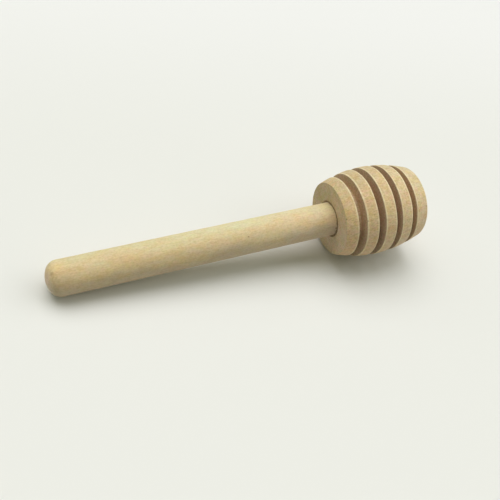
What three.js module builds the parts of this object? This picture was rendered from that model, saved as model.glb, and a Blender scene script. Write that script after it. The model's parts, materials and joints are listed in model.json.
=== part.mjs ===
// A small wooden honey dipper in two pieces: a turned, ribbed head and the straight dowel glued into it.
// Millimetres, +Z up. It lies along X with its head towards +X, resting on z = 0 on its widest rib and
// on the rounded end of its handle. The origin is on the floor, under the middle of its bounding box.
import * as THREE from 'three';

// Handle
const handleDiameter = 7.2;
// From the head's shoulder face to the tip of the free end
const handleReach = 59.8;
const freeEndRound = 2.5;
// How far the middle of the free end stands out past the start of its round
const freeEndCrown = 0.26;
// Length of dowel inside the head
const tenonLength = 11.5;
const tenonChamfer = 0.8;

// Head
const shoulderDiameter = 15.8;
const bellyDiameter = 19.4;
const tipDiameter = 15.5;
// Where the head is widest, as a share of its length from the shoulder
const bellyPlaceShare = 0.48;
const ribCount = 5;
// The ribs widen evenly from the shoulder to the one before the tip, and the grooves narrow evenly
const shoulderRibWidth = 2.5;
const lastInnerRibWidth = 2.72;
const tipRibWidth = 3.5;
const firstGrooveWidth = 1.68;
const lastGrooveWidth = 1.32;
const ribEdgeRound = 0.15;
const tipRimRound = 0.85;
const grooveFloorRound = 0.25;
// Wood left between the socket and the floors of the grooves
const coreWall = 2.6;

// Glued joint
// Gap all round between the dowel and its socket, which shows as a dark ring at the shoulder
const socketClearance = 0.3;
// Between the end of the dowel and the bottom of the socket
const glueGap = 0.4;
// Degrees across the cone that the drill leaves at the bottom of the socket
const drillPointAngle = 118;

// How finely the turned forms are faceted
const facetsAround = 40;
const stepsAroundEdge = 2;
const stepsAroundTipRim = 4;
const stepsAroundFreeEnd = 8;
const stepsAcrossCrown = 3;
const stepsAcrossRib = 4;

// Worked out from the sizes above
const handleRadius = handleDiameter / 2;
const socketRadius = handleRadius + socketClearance;
const coreRadius = socketRadius + coreWall;
const socketDepth = tenonLength + glueGap;
const grooveCount = ribCount - 1;
const grooveWidths = evenSteps(firstGrooveWidth, lastGrooveWidth, grooveCount);
const ribWidths = [...evenSteps(shoulderRibWidth, lastInnerRibWidth, grooveCount), tipRibWidth];
const headLength = [...ribWidths, ...grooveWidths].reduce((length, width) => length + width);
const bellyPlace = bellyPlaceShare * headLength;

// A row of lengths that go in even steps from the first to the last.
function evenSteps(first, last, count) {
  return Array.from({ length: count }, (_, i) => THREE.MathUtils.lerp(first, last, i / (count - 1)));
}

// Every outline is a half section, with stations measured along the dipper's axis from the shoulder
// face towards the tip of the head.
const point = (station, radius) => new THREE.Vector2(radius, station);

// An arc about a centre, with angles in degrees: 0 points towards the head's tip, 90 away from the axis.
function arc(centreStation, centreRadius, round, fromAngle, toAngle, steps) {
  const points = [];
  for (let i = 0; i <= steps; i++) {
    const angle = THREE.MathUtils.degToRad(THREE.MathUtils.lerp(fromAngle, toAngle, i / steps));
    points.push(point(centreStation + round * Math.cos(angle), centreRadius + round * Math.sin(angle)));
  }
  return points;
}

// The barrel that the ribs are left from: two parabolas that meet level at the belly.
function barrelRadius(station) {
  const endRadius = (station < bellyPlace ? shoulderDiameter : tipDiameter) / 2;
  const reach = station < bellyPlace ? bellyPlace : headLength - bellyPlace;
  const away = (station - bellyPlace) / reach;
  return bellyDiameter / 2 - (bellyDiameter / 2 - endRadius) * away ** 2;
}

// One rib, from its wall on the handle's side, over the barrel, to its wall on the tip's side.
function ribOutline(start, end, endRound, endSteps) {
  const from = start + ribEdgeRound;
  const to = end - endRound;
  const crown = [];
  for (let i = 1; i < stepsAcrossRib; i++) {
    const station = THREE.MathUtils.lerp(from, to, i / stepsAcrossRib);
    crown.push(point(station, barrelRadius(station)));
  }
  return [
    ...arc(from, barrelRadius(from) - ribEdgeRound, ribEdgeRound, 180, 90, stepsAroundEdge),
    ...crown,
    ...arc(to, barrelRadius(to) - endRound, endRound, 90, 0, endSteps),
  ];
}

// The floor of a groove, rounded in its two corners by the cutter.
function grooveOutline(start, end) {
  const cornerRadius = coreRadius + grooveFloorRound;
  return [
    ...arc(start + grooveFloorRound, cornerRadius, grooveFloorRound, 180, 270, stepsAroundEdge),
    ...arc(end - grooveFloorRound, cornerRadius, grooveFloorRound, 270, 360, stepsAroundEdge),
  ];
}

// The blind socket, from the point of the drill to its eased mouth in the shoulder face.
function socketOutline() {
  const coneDepth = socketRadius / Math.tan(THREE.MathUtils.degToRad(drillPointAngle / 2));
  return [
    point(socketDepth + coneDepth, 0),
    point(socketDepth, socketRadius),
    ...arc(ribEdgeRound, socketRadius + ribEdgeRound, ribEdgeRound, 270, 180, stepsAroundEdge),
  ];
}

function headOutline() {
  const outline = socketOutline();
  const tipRibStart = headLength - tipRibWidth;
  let start = 0;
  for (let i = 0; i < grooveCount; i++) {
    const end = start + ribWidths[i];
    outline.push(...ribOutline(start, end, ribEdgeRound, stepsAroundEdge));
    start = end + grooveWidths[i];
    outline.push(...grooveOutline(end, start));
  }
  outline.push(...ribOutline(tipRibStart, headLength, tipRimRound, stepsAroundTipRim));
  outline.push(point(headLength, 0));
  return outline;
}

// The crowned, rounded free end of the handle, from the axis out to the straight dowel. The crown is an
// arc about the axis, as wide as it takes to run smoothly into the round.
function freeEndOutline() {
  const centreRadius = handleRadius - freeEndRound;
  const crownAngle = 2 * Math.atan2(freeEndCrown, centreRadius);
  const crownRound = freeEndRound + centreRadius / Math.sin(crownAngle);
  const join = 180 - THREE.MathUtils.radToDeg(crownAngle);
  const centreStation = freeEndCrown + freeEndRound - handleReach;
  const crown = arc(crownRound - handleReach, 0, crownRound, 180, join, stepsAcrossCrown);
  const round = arc(centreStation, centreRadius, freeEndRound, join, 90, stepsAroundFreeEnd);
  return [point(-handleReach, 0), ...crown.slice(1, -1), ...round];
}

function handleOutline() {
  return [
    ...freeEndOutline(),
    point(tenonLength - tenonChamfer, handleRadius),
    point(tenonLength, handleRadius - tenonChamfer),
    point(tenonLength, 0),
  ];
}

// Turns a half section about X, with one facet straight down so that the dipper lies still.
function turned(outline) {
  const geometry = new THREE.LatheGeometry(outline, facetsAround, Math.PI / facetsAround);
  return geometry.rotateZ(-Math.PI / 2);
}

function makeHead() {
  const wood = new THREE.MeshStandardMaterial({ color: '#d6bb8f', roughness: 0.75, metalness: 0 });
  const head = new THREE.Mesh(turned(headOutline()), wood);
  head.name = 'dipper_head';
  return head;
}

function makeHandle() {
  const wood = new THREE.MeshStandardMaterial({ color: '#dcc498', roughness: 0.7, metalness: 0 });
  const handle = new THREE.Mesh(turned(handleOutline()), wood);
  handle.name = 'handle';
  return handle;
}

// The angle at which the dipper lies: the line that touches both its free end and its head from below.
function restingAngle() {
  const headPoints = headOutline();
  const steepestToHead = (low) => Math.max(...headPoints.map((high) => (high.x - low.x) / (high.y - low.y)));
  const slope = Math.min(...freeEndOutline().map(steepestToHead));
  return Math.atan(slope * Math.cos(Math.PI / facetsAround));
}

const dipper = new THREE.Group();
dipper.add(makeHead(), makeHandle());
dipper.rotation.y = -restingAngle();

// Set down on the floor with its box centred over the origin
const box = new THREE.Box3().setFromObject(dipper, true);
const middle = box.getCenter(new THREE.Vector3());
dipper.position.set(-middle.x, -middle.y, -box.min.z);

const part = new THREE.Group();
part.add(dipper);

export default part;
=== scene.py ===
import json
import math
from collections import namedtuple

import bpy
import numpy as np
from mathutils import Matrix, Vector


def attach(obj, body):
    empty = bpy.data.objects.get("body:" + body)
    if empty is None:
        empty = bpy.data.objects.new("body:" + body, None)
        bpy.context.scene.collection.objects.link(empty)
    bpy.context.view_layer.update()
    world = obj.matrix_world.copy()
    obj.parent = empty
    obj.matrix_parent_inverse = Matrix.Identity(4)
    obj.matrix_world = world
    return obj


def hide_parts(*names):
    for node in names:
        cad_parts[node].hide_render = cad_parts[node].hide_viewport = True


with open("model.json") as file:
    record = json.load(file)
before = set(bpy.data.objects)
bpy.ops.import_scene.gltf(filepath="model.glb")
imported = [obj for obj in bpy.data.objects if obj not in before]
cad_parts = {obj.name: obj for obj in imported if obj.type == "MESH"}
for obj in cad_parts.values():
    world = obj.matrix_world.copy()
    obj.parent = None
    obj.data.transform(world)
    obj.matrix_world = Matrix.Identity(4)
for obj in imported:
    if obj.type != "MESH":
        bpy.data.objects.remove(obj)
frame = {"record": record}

# A small two-piece honey dipper in pale wood, lying on a plain floor.
# Each wooden piece is turned again here from a finer outline than the frame's, in its own axes: X along
# the dipper from the shoulder face to the tip, with the frame's record saying where that axis lies.

MM = 0.001

# Directions in a half section, in degrees
towards_tip = 0
outwards = 90
towards_handle = 180
inwards = 270
full_turn = 360

# Which of a Mix node's sockets are its two colours, and which is the colour it gives
mix_colours = (6, 7)
mix_result = 2

# Handle sizes, as in the frame
handle_diameter = 7.2 * MM
handle_reach = 59.8 * MM
free_end_round = 2.5 * MM
free_end_crown = 0.26 * MM
tenon_length = 11.5 * MM
tenon_chamfer = 0.8 * MM

# Head sizes, as in the frame
shoulder_diameter = 15.8 * MM
belly_diameter = 19.4 * MM
tip_diameter = 15.5 * MM
belly_place_share = 0.48
rib_count = 5
shoulder_rib_width = 2.5 * MM
last_inner_rib_width = 2.72 * MM
tip_rib_width = 3.5 * MM
first_groove_width = 1.68 * MM
last_groove_width = 1.32 * MM
rib_edge_round = 0.15 * MM
tip_rim_round = 0.85 * MM
groove_floor_round = 0.25 * MM
core_wall = 2.6 * MM
socket_clearance = 0.3 * MM
glue_gap = 0.4 * MM
drill_point_angle = math.radians(118)
# The frame's pieces have this many flats, and the round ones here touch the flats from inside. The free
# end is drawn in a little for the same reason.
frame_flats = 40
free_end_inset = 0.01 * MM

# A filler ring closes the gap round the handle, and the gap's painted shade shows on it: how far in from
# the shoulder face it begins, and how far along the gap it goes
gap_fill_set_back = 0.1 * MM
gap_fill_length = 0.5 * MM

# Camera
camera_azimuth = math.radians(37.092)
camera_elevation = math.radians(49.977)
camera_roll = math.radians(20.364)
camera_distance = 133.92 * MM
camera_aim = Vector((0.64, -2.36, 5.57)) * MM
camera_lens = 46.677
camera_nearest = 10 * MM

# Light: one main lamp from above and three weaker ones round it, all broad and soft, and a little light
# from all round. Azimuths go from +Y towards +X.
Lamp = namedtuple("Lamp", "name azimuth elevation strength")
lamps = (
    Lamp("top_lamp", 0, 68, 1.81),
    Lamp("tip_lamp", 90, 45, 0.82),
    Lamp("back_lamp", 315, 45, 0.39),
    Lamp("low_lamp", 120, 15, 0.34),
)
lamp_spread = math.radians(50)
world_strength = 0.195
world_colour = (0.86, 1.0, 0.67)
# The pale backdrop that is seen beyond the floor
backdrop_colour = (0.89, 0.895, 0.86)

# Floor: the colours that it shows under the dipper and further back, where its paler colour is painted
# light, the way in which and how far off they change, and the colour that it throws back at the wood
floor_half = 1500 * MM
floor_colour = (0.841, 0.826, 0.81)
far_floor_painted_light_colour = (0.893, 0.876, 0.886)
floor_pales_towards = math.radians(11)
floor_pales_from = 25 * MM
floor_pales_to = 110 * MM
floor_bounce_colour = (0.58, 0.57, 0.53)
floor_roughness = 0.7
floor_gloss = 0.1

# How finely the wood is meshed
around_count = 256
outline_step = 0.14 * MM
arc_steps = 8
free_end_steps = 24

# Unevenness left by the cutters and the sandpaper: how far edges and faces stray along the axis, how deep
# round surfaces sink, and the waves that both are made of
edge_wander = 0.035 * MM
surface_sink = 0.03 * MM
wander_waves = 9
most_waves_round = 8
most_turn_along = 1.6 / MM
head_shape_seed = 5
handle_shape_seed = 8

# The way from the wood's front to its back, across it and up, square to where its tone is taken as middling
# The tones along this way are partly the wood's own and partly painted light and shade, set for where the
# lamps fall.
upper_back_angle = math.radians(34)
upper_back = (math.cos(upper_back_angle), math.sin(upper_back_angle))

# All that follows for the wood is in millimetres on the wood itself.
# Marks in the wood: how long each kind is along the grain, how wide across it, and the tint that it gives
# where it is strongest
Grain = namedtuple("Grain", "along across tint")
rosy_cloud = Grain(3.5, 2.3, (1.0, 0.92, 0.91))
golden_cloud = Grain(1.8, 1.4, (1.0, 0.97, 0.78))
rosy_mottle = Grain(1.0, 0.7, (1.0, 0.87, 0.9))
olive_mottle = Grain(0.8, 0.6, (0.9, 0.96, 0.78))
streak = Grain(11.0, 0.9, (0.93, 0.9, 0.86))
fibre = Grain(1.5, 0.2, (0.84, 0.8, 0.75))
fleck = Grain(0.4, 0.32, (0.78, 0.75, 0.71))
pore = Grain(0.8, 0.17, (0.66, 0.58, 0.5))
end_patch = Grain(2.4, 1.7, (0.9, 0.97, 0.9))
noise_detail = 2.0
# From how far a surface turns towards the ends it begins to look like end grain: 0 is a side and 1 an end
end_grain_starts = 0.5
# The noise values at which a mark starts to show and at which it is strongest
mark_starts = 0.35
mark_full = 0.7
# How far from its middle a pore is fully dark and where it ends, as shares of its size, and how few show
pore_core_share = 0.2
pore_end_share = 0.42
pore_rarity = 0.55
pore_fade = 0.1

# Growth rings, bent by a slow waver
ring_period = 1.7
ring_tint = (0.94, 0.91, 0.86)
ring_sharpness = 3.0
ring_bend = 5.0
ring_seed = 5.0
ring_waver_along = 26.0
ring_waver_across = 7.0

# The slow cloud by which the wood's tone strays from one side to the other
tone_cloud_along = 9.0
tone_cloud_across = 3.0
tone_stray = 0.25
# Keeps the side that a place is on defined where the wood meets its axis
axis_blur = 0.1

# Fine relief and sheen of sanded, unvarnished wood
fibre_relief = 0.012
fleck_relief = 0.008
pore_relief = -0.02
relief_strength = 0.8
smooth_fibre_roughness = 0.62
rough_fibre_roughness = 0.8
wood_gloss = 0.3

# Pale edges of the ribs: a painted highlight where they catch the light, partly pale wear
arris_width = 0.5
arris_full_share = 0.4
arris_cloud_size = 1.2
arris_faint = 0.3
arris_strong = 0.75
arris_highlight_colour = (0.98, 0.86, 0.58)

# Painted shade in the grooves, darkest at the front of the dipper, from the front through its middle to its
# back
groove_shade_tones = ((0.63, 0.482, 0.377), (0.73, 0.553, 0.425), (0.762, 0.597, 0.456))
# The grooves nearer the ends are shallower and their painted shade is lighter: how far from the head's
# middle they begin
outer_groove_starts = 3.5
outer_groove_full = 5.0
outer_groove_tint = (1.04, 1.04, 1.0)
groove_starts = 0.05
groove_full = 0.13
groove_cloud_along = 0.9
groove_cloud_across = 0.7
groove_uneven = 0.88

# Painted shade of the gap between the handle and the socket's mouth: a dark line
gap_shade_colour = (0.31, 0.215, 0.125)
seam_faint = 0.72
seam_starts = -0.06
seam_full = 0.1
seam_cloud = 0.9
seam_stray = 0.14

# How a piece's wood looks: its tones from the front through the middle to the back, the tints that its
# end grain gives them, the tint and the stations over which it changes along the dipper, how strong each
# kind of mark is, and the line beside the dipper that its growth rings run round
# The tones and end-grain tints by side are partly the wood's own colour and partly painted light and shade.
look_parts = "tones end_tints start_tint stations shares pore_share ring_share ring_centre seed"
Look = namedtuple("Look", look_parts)

# Painted light on the handle near the head, a little rosier, and painted shade on the last of it before the
# socket
handle_light_near_head_tint = (1.06, 1.03, 1.04)
handle_light_near_head_starts = -14
handle_light_near_head_full = -5
shade_before_socket_tint = (0.92, 0.92, 0.93)
shade_before_socket_starts = -1.9
shade_before_socket_full = -0.4

# Small dark specks in the wood: where each is, how far it reaches and how strong it is. The handle's first
# two widen the painted gap shade just beside the socket, and the head's are nicks at the edges of its ribs.
Speck = namedtuple("Speck", "place reach share")
speck_and_gap_shade_tint = (0.52, 0.44, 0.38)
handle_specks = (
    # These two are painted gap shade beside the socket
    Speck((-0.15, -3.45, 0.99), 0.4, 1.0),
    Speck((-0.1, -3.6, -0.1), 0.3, 0.8),
    Speck((-58.46, -0.81, 3.05), 0.55, 0.6),
    Speck((-19.95, -2.05, 2.96), 0.27, 0.9),
    Speck((-37.2, 2.9, -2.1), 0.35, 0.7),
    Speck((-9.6, 3.4, 1.2), 0.25, 0.6),
)
head_specks = (
    Speck((0.05, -5.18, 5.96), 0.32, 0.9),
    Speck((4.25, -6.77, 6.1), 0.3, 0.8),
    Speck((19.25, -5.82, 5.43), 0.3, 0.8),
)
# Larger soft patches near the handle's free end, each with its tint
handle_patches = (
    (Speck((-57.6, 0.4, 3.4), 2.8, 1.0), (1.12, 1.02, 0.95)),
    (Speck((-56.6, -2.6, 2.5), 2.6, 1.0), (0.88, 0.87, 0.88)),
)

# Sizes that follow from those above
handle_radius = handle_diameter / 2
socket_radius = handle_radius + socket_clearance
core_radius = socket_radius + core_wall
socket_depth = tenon_length + glue_gap
groove_count = rib_count - 1
groove_widths = np.linspace(first_groove_width, last_groove_width, groove_count)
rib_widths = [*np.linspace(shoulder_rib_width, last_inner_rib_width, groove_count), tip_rib_width]
head_length = sum(rib_widths) + sum(groove_widths)
belly_place = belly_place_share * head_length
# Where each rib begins and ends
rib_starts = np.concatenate([[0], np.cumsum(np.add(rib_widths[:-1], groove_widths))])
rib_stops = rib_starts + rib_widths
# The edges painted pale, as a highlight and partly as wear: all but the one round the shoulder face
pale_rib_edges = [*rib_starts[1:], *rib_stops]


def mount(name):
    """One of the record's mounts, by name."""
    return next(m for m in frame["record"]["mounts"] if m["name"] == name)


def dipper_matrix():
    """The dipper's own axes in the frame: X along the wood towards the tip, the shoulder face at zero."""
    tip = mount("tip_face")
    along = Vector(tip["axis"]).normalized()
    across = Vector((0, 1, 0))
    up = along.cross(across)
    shoulder = Vector(tip["pos_m"]) - along * head_length
    return Matrix.Translation(shoulder) @ Matrix((along, across, up)).transposed().to_4x4()


def arc(station, radius, size, start, end, steps=arc_steps):
    """Points of a round, from one direction in degrees to another."""
    angles = np.radians(np.linspace(start, end, steps + 1))
    return [(station + size * math.cos(a), radius + size * math.sin(a)) for a in angles]


def barrel_radius(station):
    """The barrel that the ribs are left from: two parabolas that meet level at the belly."""
    station = np.asarray(station, float)
    near = station < belly_place
    end_radius = np.where(near, shoulder_diameter, tip_diameter) / 2
    reach = np.where(near, belly_place, head_length - belly_place)
    away = (station - belly_place) / reach
    return belly_diameter / 2 - (belly_diameter / 2 - end_radius) * away**2


def rib_outline(start, end, end_round):
    """One rib, from its wall on the handle's side over the barrel to its wall on the tip's side."""
    near = start + rib_edge_round
    far = end - end_round
    crown = np.arange(near, far, outline_step)[1:]
    return [
        *arc(near, float(barrel_radius(near)) - rib_edge_round, rib_edge_round, towards_handle, outwards),
        *zip(crown, barrel_radius(crown)),
        *arc(far, float(barrel_radius(far)) - end_round, end_round, outwards, towards_tip),
    ]


def groove_outline(start, end):
    """The floor of a groove, rounded in its two corners."""
    corner = core_radius + groove_floor_round
    return [
        *arc(start + groove_floor_round, corner, groove_floor_round, towards_handle, inwards),
        *arc(end - groove_floor_round, corner, groove_floor_round, inwards, full_turn),
    ]


def head_outline():
    """The head's half section, from the bottom of its socket round to the middle of its tip."""
    cone_depth = socket_radius / math.tan(drill_point_angle / 2)
    gap_fill_meets_edge = full_turn - math.degrees(math.acos(gap_fill_set_back / rib_edge_round - 1))
    gap_fill_end = gap_fill_set_back + gap_fill_length
    edge_centre = socket_radius + rib_edge_round
    outline = [
        (socket_depth + cone_depth, 0.0),
        (socket_depth, socket_radius),
        (gap_fill_end, socket_radius),
        (gap_fill_end, handle_radius),
        (gap_fill_set_back, handle_radius),
        *arc(rib_edge_round, edge_centre, rib_edge_round, gap_fill_meets_edge, towards_handle),
    ]
    start = 0.0
    for rib_width, groove_width in zip(rib_widths, groove_widths):
        end = start + rib_width
        outline += rib_outline(start, end, rib_edge_round)
        start = end + groove_width
        outline += groove_outline(end, start)
    outline += rib_outline(start, head_length, tip_rim_round)
    outline.append((head_length, 0.0))
    return outline


def free_end_outline():
    """The handle's crowned, rounded free end: two arcs that run smoothly into each other."""
    centre_radius = handle_radius - free_end_round
    crown_angle = 2 * math.atan2(free_end_crown, centre_radius)
    crown_round = free_end_round + centre_radius / math.sin(crown_angle)
    join = towards_handle - math.degrees(crown_angle)
    tip = free_end_inset - handle_reach
    centre = tip + free_end_crown + free_end_round
    crown = arc(tip + crown_round, 0.0, crown_round, towards_handle, join)
    return [
        (tip, 0.0),
        *crown[1:-1],
        *arc(centre, centre_radius, free_end_round, join, outwards, free_end_steps),
    ]


def handle_outline():
    """The handle's half section, from the middle of its free end to the middle of its tenon's end."""
    return [
        *free_end_outline(),
        (tenon_length - tenon_chamfer, handle_radius),
        (tenon_length, handle_radius - tenon_chamfer),
        (tenon_length, 0.0),
    ]


def refined(outline):
    """The outline with extra points, so that no step along it is longer than outline_step."""
    points = [outline[0]]
    for a, b in zip(outline, outline[1:]):
        steps = max(1, math.ceil(math.dist(a, b) / outline_step))
        points += [tuple(np.add(a, np.subtract(b, a) * k / steps)) for k in range(1, steps + 1)]
    return np.array(points)


def wander(turn, station, seed):
    """A smooth uneven value from -1 to 1 that joins up round the axis, changing over a few millimetres."""
    draw = np.random.default_rng(seed)
    total = np.zeros_like(turn)
    for _ in range(wander_waves):
        waves_round = draw.integers(1, most_waves_round, endpoint=True)
        turn_along = draw.uniform(-most_turn_along, most_turn_along)
        total += np.cos(waves_round * turn + turn_along * station + draw.uniform(0, math.tau))
    return np.clip(total / math.sqrt(2 * wander_waves), -1, 1)


def outline_directions(profile):
    """How far each point of an outline faces along the axis, from -1 to 1."""
    along = np.gradient(profile[:, 0])
    out = np.gradient(profile[:, 1])
    return -out / np.hypot(along, out)


def store(mesh, name, values):
    """Keeps one number for each vertex, for the materials to read."""
    numbers = mesh.attributes.new(name, "FLOAT", "POINT").data
    numbers.foreach_set("value", np.ascontiguousarray(values, np.float32))


def turned(name, outline, seed):
    """A piece turned about X from a half section that starts and ends on the axis."""
    profile = refined(outline)
    facing = outline_directions(profile)
    rings = profile[1:-1]
    angles = np.linspace(0, math.tau, around_count, endpoint=False)
    turn = np.tile(angles, len(rings))
    station = np.repeat(rings[:, 0], around_count)
    radius = np.repeat(rings[:, 1], around_count)
    wall = np.abs(np.repeat(facing[1:-1], around_count))
    # Flat faces and walls wander along the axis, and round surfaces sink a little
    inside = (station > edge_wander) & (station < head_length - tip_rim_round)
    shift = edge_wander * wander(turn, station, seed) * wall * inside
    sink = surface_sink * (wander(turn, station, seed + 1) + 1) / 2 * (1 - wall)
    true_radius = (radius - sink) * math.cos(math.pi / frame_flats)
    body = np.column_stack([station + shift, true_radius * np.cos(turn), true_radius * np.sin(turn)])
    own = np.vstack([body, (profile[0, 0], 0, 0), (profile[-1, 0], 0, 0)])
    into_frame = dipper_matrix()
    vertices = own @ np.array(into_frame.to_3x3()).T + np.array(into_frame.translation)
    mesh = bpy.data.meshes.new(name)
    mesh.from_pydata(vertices.tolist(), [], turned_faces(len(rings)))
    mesh.shade_smooth()
    places = mesh.attributes.new("wood_mm", "FLOAT_VECTOR", "POINT")
    places.data.foreach_set("vector", np.ascontiguousarray(own / MM, np.float32).ravel())
    store(mesh, "end_grain", [*wall, 1, 1])
    store_marks(mesh, own[:, 0], np.hypot(own[:, 1], own[:, 2]))
    piece = bpy.data.objects.new(name, mesh)
    bpy.context.scene.collection.objects.link(piece)
    return piece


def turned_faces(ring_count):
    """The faces of a turned piece: squares from ring to ring, and a fan of triangles at either pole."""
    spoke = np.arange(around_count)
    beside = np.roll(spoke, -1)
    row = np.arange(ring_count - 1)[:, None] * around_count
    next_row = row + around_count
    quads = np.stack([row + spoke, row + beside, next_row + beside, next_row + spoke], axis=-1)
    last_row = (ring_count - 1) * around_count
    first_pole = ring_count * around_count
    last_pole = first_pole + 1
    pairs = list(zip(spoke.tolist(), beside.tolist()))
    first_fan = [(first_pole, b, a) for a, b in pairs]
    last_fan = [(last_pole, last_row + a, last_row + b) for a, b in pairs]
    return [*quads.reshape(-1, 4).tolist(), *first_fan, *last_fan]


def store_marks(mesh, station, radius):
    """Keeps how far each vertex is from a pale rib edge, down a groove and into the socket, in millimetres.
    """
    depth = barrel_radius(station) - radius
    from_edge = np.abs(station[:, None] - np.array(pale_rib_edges)).min(axis=1) + np.abs(depth)
    store(mesh, "edge_mm", from_edge / MM)
    grooved = (station > shoulder_rib_width / 2) & (station < head_length - tip_rib_width / 2)
    store(mesh, "groove_mm", depth / MM * grooved)
    in_socket = (radius < socket_radius + rib_edge_round) & (station < head_length - tip_rib_width)
    store(mesh, "socket_mm", np.where(in_socket, station, -head_length) / MM)


class Nodes:
    """Nodes of a material or of the world, laid one after another. On wood, lengths are in millimetres in
    the dipper's own axes."""

    def __init__(self, tree):
        self.tree = tree
        self.shader = tree.nodes.get("Principled BSDF")
        self.place = None

    def put(self, socket, value):
        """Gives an input a number or colour, or joins it to another node's output."""
        if isinstance(value, bpy.types.NodeSocket):
            self.tree.links.new(value, socket)
        elif isinstance(value, tuple) and socket.type == "RGBA":
            socket.default_value = (*value, 1)
        else:
            socket.default_value = value

    def add(self, kind, inputs, **settings):
        node = self.tree.nodes.new("ShaderNode" + kind)
        for name, value in settings.items():
            setattr(node, name, value)
        for key, value in inputs.items():
            self.put(node.inputs[key], value)
        return node

    def attribute(self, name, output="Fac"):
        return self.add("Attribute", {}, attribute_name=name).outputs[output]

    def math(self, operation, a, b=0.0):
        return self.add("Math", {0: a, 1: b}, operation=operation).outputs[0]

    def vector(self, operation, a, b):
        return self.add("VectorMath", {0: a, 1: b}, operation=operation)

    def stretched(self, along, across, offset):
        """The place on the wood, in units of a grain that is so long and so wide."""
        moved = self.vector("ADD", self.place, (offset, offset, offset)).outputs["Vector"]
        return self.vector("DIVIDE", moved, (along, across, across)).outputs["Vector"]

    def noise(self, along, across, offset):
        """Soft cloudy patches of about the given length and width."""
        place = self.stretched(along, across, offset)
        return self.add("TexNoise", {"Vector": place, "Scale": 1.0, "Detail": noise_detail}).outputs["Fac"]

    def ramp(self, value, low, high, to_low=0.0, to_high=1.0):
        """A smooth rise from to_low to to_high as the value goes from low to high."""
        inputs = {"Value": value, "From Min": low, "From Max": high, "To Min": to_low, "To Max": to_high}
        return self.add("MapRange", inputs, interpolation_type="SMOOTHSTEP").outputs["Result"]

    def spread(self, noise, low, high):
        """The noise of one kind of mark, spread from a low value where no mark shows to a high one."""
        return self.ramp(noise, mark_starts, mark_full, low, high)

    def marks(self, grain, seed, share=1.0):
        """The noise of one kind of mark, and how strongly the mark shows, up to the share."""
        noise = self.noise(grain.along, grain.across, seed)
        return noise, self.spread(noise, 0.0, share)

    def mix(self, share, a, b, blend="MIX"):
        node = self.add("Mix", {"Factor": share}, data_type="RGBA", blend_type=blend)
        for socket, colour in zip(mix_colours, (a, b)):
            self.put(node.inputs[socket], colour)
        return node.outputs[mix_result]

    def stain(self, colour, share, tint):
        """Multiplies a colour by a tint, as strongly as the share says."""
        return self.mix(share, colour, tint, "MULTIPLY")

    def station(self):
        """How far along the dipper a place is, from the shoulder face."""
        return self.add("SeparateXYZ", {"Vector": self.place}).outputs["X"]

    def length_across(self, across, up):
        squares = [self.math("MULTIPLY", value, value) for value in (across, up)]
        return self.math("SQRT", self.math("ADD", *squares))

    def side(self, seed):
        """Which side of the wood a place is on, from -1 at the lower front to 1 at the upper back."""
        parts = self.add("SeparateXYZ", {"Vector": self.place})
        out = self.length_across(parts.outputs["Y"], parts.outputs["Z"])
        back = self.vector("DOT_PRODUCT", self.place, (0, *upper_back)).outputs["Value"]
        side = self.math("DIVIDE", back, self.math("ADD", out, axis_blur))
        cloud = self.noise(tone_cloud_along, tone_cloud_across, seed)
        return self.math("ADD", side, self.spread(cloud, -tone_stray, tone_stray))

    def by_side(self, side, tones):
        """A colour that goes from the front tone through the middle one to the back one, with painted light
        and shade by side.
        """
        front, middle, back = tones
        colour = self.mix(self.ramp(side, -1.0, 0.0), front, middle)
        return self.mix(self.ramp(side, 0.0, 1.0), colour, back)

    def rings(self, centre_across, centre_up):
        """Growth rings about a line beside the dipper, from 0 to 1."""
        waver = self.noise(ring_waver_along, ring_waver_across, ring_seed)
        parts = self.add("SeparateXYZ", {"Vector": self.place})
        across = self.math("SUBTRACT", parts.outputs["Y"], centre_across)
        up = self.math("SUBTRACT", parts.outputs["Z"], centre_up)
        bent = self.math("ADD", self.length_across(across, up), self.math("MULTIPLY", waver, ring_bend))
        phase = self.math("FRACT", self.math("DIVIDE", bent, ring_period))
        return self.math("POWER", phase, ring_sharpness)

    def pores(self, seed):
        """Short dark dashes along the grain: 1 in a dash and 0 elsewhere."""
        place = self.stretched(pore.along, pore.across, seed)
        spots = self.add("TexVoronoi", {"Vector": place, "Scale": 1.0}, feature="F1")
        near = self.ramp(spots.outputs["Distance"], pore_core_share, pore_end_share, 1.0, 0.0)
        chosen = self.add("SeparateColor", {"Color": spots.outputs["Color"]}).outputs["Red"]
        return self.math("MULTIPLY", near, self.ramp(chosen, pore_rarity, pore_rarity + pore_fade))

    def near(self, speck):
        """How strongly a speck shows at a place."""
        away = self.vector("DISTANCE", self.place, speck.place).outputs["Value"]
        return self.ramp(away, 0.0, speck.reach, speck.share, 0.0)

    def seen(self):
        """1 where a thing is seen, mirrored or through glass too, and 0 where it only gives light."""
        path = self.add("LightPath", {})
        seen = path.outputs["Is Camera Ray"]
        for kind in ("Is Glossy Ray", "Is Transmission Ray"):
            seen = self.math("MAXIMUM", seen, path.outputs[kind])
        return seen


def new_material(name):
    """A new material and its nodes."""
    material = bpy.data.materials.new(name)
    material.use_nodes = True
    return material, Nodes(material.node_tree)


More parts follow.
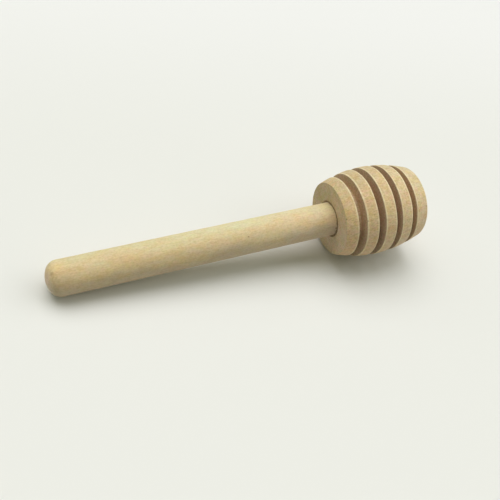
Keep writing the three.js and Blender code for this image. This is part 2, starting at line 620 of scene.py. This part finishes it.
def wood(name, look):
    """Close-grained pale wood: its material, nodes, side value, and colour before what is on it."""
    material, nodes = new_material(name)
    nodes.place = nodes.attribute("wood_mm", "Vector")
    side = nodes.side(look.seed)
    # Tones by side: partly the wood's colour, partly painted light and shade
    colour = nodes.by_side(side, look.tones)
    end_grain = nodes.ramp(nodes.attribute("end_grain"), end_grain_starts, 1.0)
    start = nodes.ramp(nodes.station(), *look.stations, 1.0, 0.0)
    along_side = nodes.math("MULTIPLY", start, nodes.math("SUBTRACT", 1.0, end_grain))
    colour = nodes.stain(colour, along_side, look.start_tint)
    noises = {}
    for number, (grain, share) in enumerate(look.shares.items(), start=1):
        noises[grain], shown = nodes.marks(grain, look.seed + number, share)
        colour = nodes.stain(colour, shown, grain.tint)
    rings = nodes.rings(*look.ring_centre)
    colour = nodes.stain(colour, nodes.math("MULTIPLY", rings, look.ring_share), ring_tint)
    pores = nodes.pores(look.seed)
    colour = nodes.stain(colour, nodes.math("MULTIPLY", pores, look.pore_share), pore.tint)
    # End grain tinted by side: partly painted light and shade
    colour = nodes.stain(colour, end_grain, nodes.by_side(side, look.end_tints))
    patches = nodes.math("MULTIPLY", end_grain, nodes.marks(end_patch, look.seed)[1])
    colour = nodes.stain(colour, patches, end_patch.tint)

    relief = nodes.math("MULTIPLY", noises[fibre], fibre_relief)
    relief = nodes.math("ADD", relief, nodes.math("MULTIPLY", noises[fleck], fleck_relief))
    relief = nodes.math("ADD", relief, nodes.math("MULTIPLY", pores, pore_relief))
    bump = nodes.add("Bump", {"Height": relief, "Distance": MM, "Strength": relief_strength})
    roughness = nodes.spread(noises[fibre], smooth_fibre_roughness, rough_fibre_roughness)
    nodes.put(nodes.shader.inputs["Roughness"], roughness)
    nodes.put(nodes.shader.inputs["Specular IOR Level"], wood_gloss)
    nodes.put(nodes.shader.inputs["Normal"], bump.outputs["Normal"])
    return material, nodes, side, colour


def colour_wood(nodes, colour, seed):
    """Gives the wood its colour, with painted gap shade in and round the socket's mouth."""
    cloud = nodes.noise(seam_cloud, seam_cloud, seed)
    into = nodes.math("ADD", nodes.attribute("socket_mm"), nodes.spread(cloud, 0.0, seam_stray))
    strong = nodes.spread(cloud, seam_faint, 1.0)
    # Painted shade of the gap round the handle
    gap_shaded = nodes.math("MULTIPLY", nodes.ramp(into, seam_starts, seam_full), strong)
    colour = nodes.mix(gap_shaded, colour, gap_shade_colour)
    nodes.put(nodes.shader.inputs["Base Color"], colour)


def head_wood():
    """The head's wood, with painted highlights, partly pale wear, along its rib edges and painted shade in
    its grooves.
    """
    material, nodes, side, colour = wood("head_wood", head_look)
    arris_cloud = nodes.noise(arris_cloud_size, arris_cloud_size, head_look.seed)
    edge = nodes.attribute("edge_mm")
    near_edge = nodes.ramp(edge, arris_full_share * arris_width, arris_width, 1.0, 0.0)
    # Painted highlight along the rib edges, partly pale wear
    arris = nodes.math("MULTIPLY", near_edge, nodes.spread(arris_cloud, arris_faint, arris_strong))
    colour = nodes.mix(arris, colour, arris_highlight_colour)
    # Painted shade for the grooves, by side
    groove = nodes.by_side(side, groove_shade_tones)
    for number, grain in enumerate((rosy_mottle, olive_mottle, fibre, fleck), start=1):
        groove = nodes.stain(groove, nodes.marks(grain, -number)[1], grain.tint)
    from_middle = nodes.math("ABSOLUTE", nodes.math("SUBTRACT", nodes.station(), head_length / MM / 2))
    outer = nodes.ramp(from_middle, outer_groove_starts, outer_groove_full)
    groove = nodes.stain(groove, outer, outer_groove_tint)
    # Painted shade down the grooves
    in_groove = nodes.ramp(nodes.attribute("groove_mm"), groove_starts, groove_full)
    cloud = nodes.noise(groove_cloud_along, groove_cloud_across, head_look.seed)
    uneven = nodes.spread(cloud, groove_uneven, 1.0)
    colour = nodes.mix(nodes.math("MULTIPLY", in_groove, uneven), colour, groove)
    for speck in head_specks:
        colour = nodes.stain(colour, nodes.near(speck), speck_and_gap_shade_tint)
    colour_wood(nodes, colour, head_look.seed)
    return material


def handle_wood():
    """The handle's wood, with painted light towards the head, painted shade just before the socket, soft
    patches and a few dark specks.
    """
    material, nodes, _, colour = wood("handle_wood", handle_look)
    # Painted light near the head, a little rosier
    lit_near_head = nodes.ramp(nodes.station(), handle_light_near_head_starts, handle_light_near_head_full)
    colour = nodes.stain(colour, lit_near_head, handle_light_near_head_tint)
    # Painted shade just before the socket
    shaded_before_socket = nodes.ramp(nodes.station(), shade_before_socket_starts, shade_before_socket_full)
    colour = nodes.stain(colour, shaded_before_socket, shade_before_socket_tint)
    for patch, tint in handle_patches:
        colour = nodes.stain(colour, nodes.near(patch), tint)
    for speck in handle_specks:
        colour = nodes.stain(colour, nodes.near(speck), speck_and_gap_shade_tint)
    colour_wood(nodes, colour, handle_look.seed)
    return material


def make_camera():
    """A camera given by where it looks, with its roll about the view."""
    forward = Vector((
        math.sin(camera_azimuth) * math.cos(camera_elevation),
        math.cos(camera_azimuth) * math.cos(camera_elevation),
        -math.sin(camera_elevation),
    ))
    level = forward.cross(Vector((0, 0, 1))).normalized()
    level_up = level.cross(forward)
    right = level * math.cos(camera_roll) + level_up * math.sin(camera_roll)
    up = right.cross(forward)
    data = bpy.data.cameras.new("camera")
    data.lens = camera_lens
    data.clip_start = camera_nearest
    camera = bpy.data.objects.new("camera", data)
    bpy.context.scene.collection.objects.link(camera)
    place = camera_aim - forward * camera_distance
    camera.matrix_world = Matrix.Translation(place) @ Matrix((right, up, -forward)).transposed().to_4x4()
    bpy.context.scene.camera = camera


def make_floor():
    """A plain floor with painted light: it pales towards the back of the main view."""
    mesh = bpy.data.meshes.new("floor")
    signs = ((-1, -1), (1, -1), (1, 1), (-1, 1))
    mesh.from_pydata([(x * floor_half, y * floor_half, 0) for x, y in signs], [], [(0, 1, 2, 3)])
    floor = bpy.data.objects.new("floor", mesh)
    bpy.context.scene.collection.objects.link(floor)
    material, nodes = new_material("floor")
    place = nodes.add("NewGeometry", {}).outputs["Position"]
    away = (math.sin(floor_pales_towards), math.cos(floor_pales_towards), 0)
    back = nodes.vector("DOT_PRODUCT", place, away).outputs["Value"]
    # Painted light: the floor is paler further back
    painted_far_light = nodes.ramp(back, floor_pales_from, floor_pales_to)
    shown = nodes.mix(painted_far_light, floor_colour, far_floor_painted_light_colour)
    colour = nodes.mix(nodes.seen(), floor_bounce_colour, shown)
    nodes.put(nodes.shader.inputs["Base Color"], colour)
    nodes.put(nodes.shader.inputs["Roughness"], floor_roughness)
    nodes.put(nodes.shader.inputs["Specular IOR Level"], floor_gloss)
    mesh.materials.append(material)


def make_lamp(lamp):
    """A distant lamp that is lamp_spread across, so that its shadows are soft."""
    data = bpy.data.lights.new(lamp.name, "SUN")
    data.energy = lamp.strength
    data.angle = lamp_spread
    made = bpy.data.objects.new(lamp.name, data)
    bpy.context.scene.collection.objects.link(made)
    azimuth = math.radians(lamp.azimuth)
    elevation = math.radians(lamp.elevation)
    towards = Vector((
        math.sin(azimuth) * math.cos(elevation),
        math.cos(azimuth) * math.cos(elevation),
        math.sin(elevation),
    ))
    made.rotation_euler = towards.to_track_quat("Z", "Y").to_euler()


def make_lights():
    """The lamps, the light from all round, and the pale backdrop that is only seen."""
    world = bpy.data.worlds.new("studio")
    bpy.context.scene.world = world
    world.use_nodes = True
    nodes = Nodes(world.node_tree)
    background = world.node_tree.nodes["Background"]
    seen = nodes.seen()
    nodes.put(background.inputs["Color"], nodes.mix(seen, world_colour, backdrop_colour))
    nodes.put(background.inputs["Strength"], nodes.math("MAXIMUM", seen, world_strength))
    for lamp in lamps:
        make_lamp(lamp)


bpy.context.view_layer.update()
make_camera()
make_floor()
make_lights()
bpy.context.scene.view_settings.view_transform = "Standard"

# In both looks the tones and end tints by side hold painted light and shade as well as the wood's colour.
head_look = Look(
    tones=((0.883, 0.725, 0.569), (0.887, 0.719, 0.486), (0.742, 0.662, 0.472)),
    end_tints=((1.03, 1.025, 1.08), (0.97, 0.95, 1.085), (0.935, 0.88, 0.89)),
    start_tint=(0.966, 0.895, 0.822),
    stations=(0.0, head_length / MM),
    shares={
        rosy_cloud: 0.8,
        golden_cloud: 0.8,
        rosy_mottle: 0.7,
        olive_mottle: 0.7,
        streak: 0.4,
        fibre: 0.6,
        fleck: 0.75,
    },
    pore_share=0.45,
    ring_share=0.5,
    ring_centre=(9, -22),
    seed=3,
)
handle_look = Look(
    tones=((0.706, 0.602, 0.48), (0.847, 0.693, 0.451), (0.81, 0.758, 0.521)),
    end_tints=((1.155, 1.18, 1.26), (1.05, 0.99, 1.25), (1.02, 0.86, 0.94)),
    start_tint=(0.929, 0.899, 0.846),
    stations=(-handle_reach / MM, 0.0),
    shares={
        rosy_cloud: 0.6,
        golden_cloud: 0.6,
        rosy_mottle: 0.4,
        olive_mottle: 0.35,
        streak: 0.4,
        fibre: 0.45,
        fleck: 0.4,
    },
    pore_share=0.25,
    ring_share=0.35,
    ring_centre=(-16, 12),
    seed=71,
)

head = turned("turned_head", head_outline(), head_shape_seed)
head.data.materials.append(head_wood())
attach(head, "root")
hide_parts("dipper_head")

handle = turned("dowel_handle", handle_outline(), handle_shape_seed)
handle.data.materials.append(handle_wood())
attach(handle, "root")
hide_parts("handle")
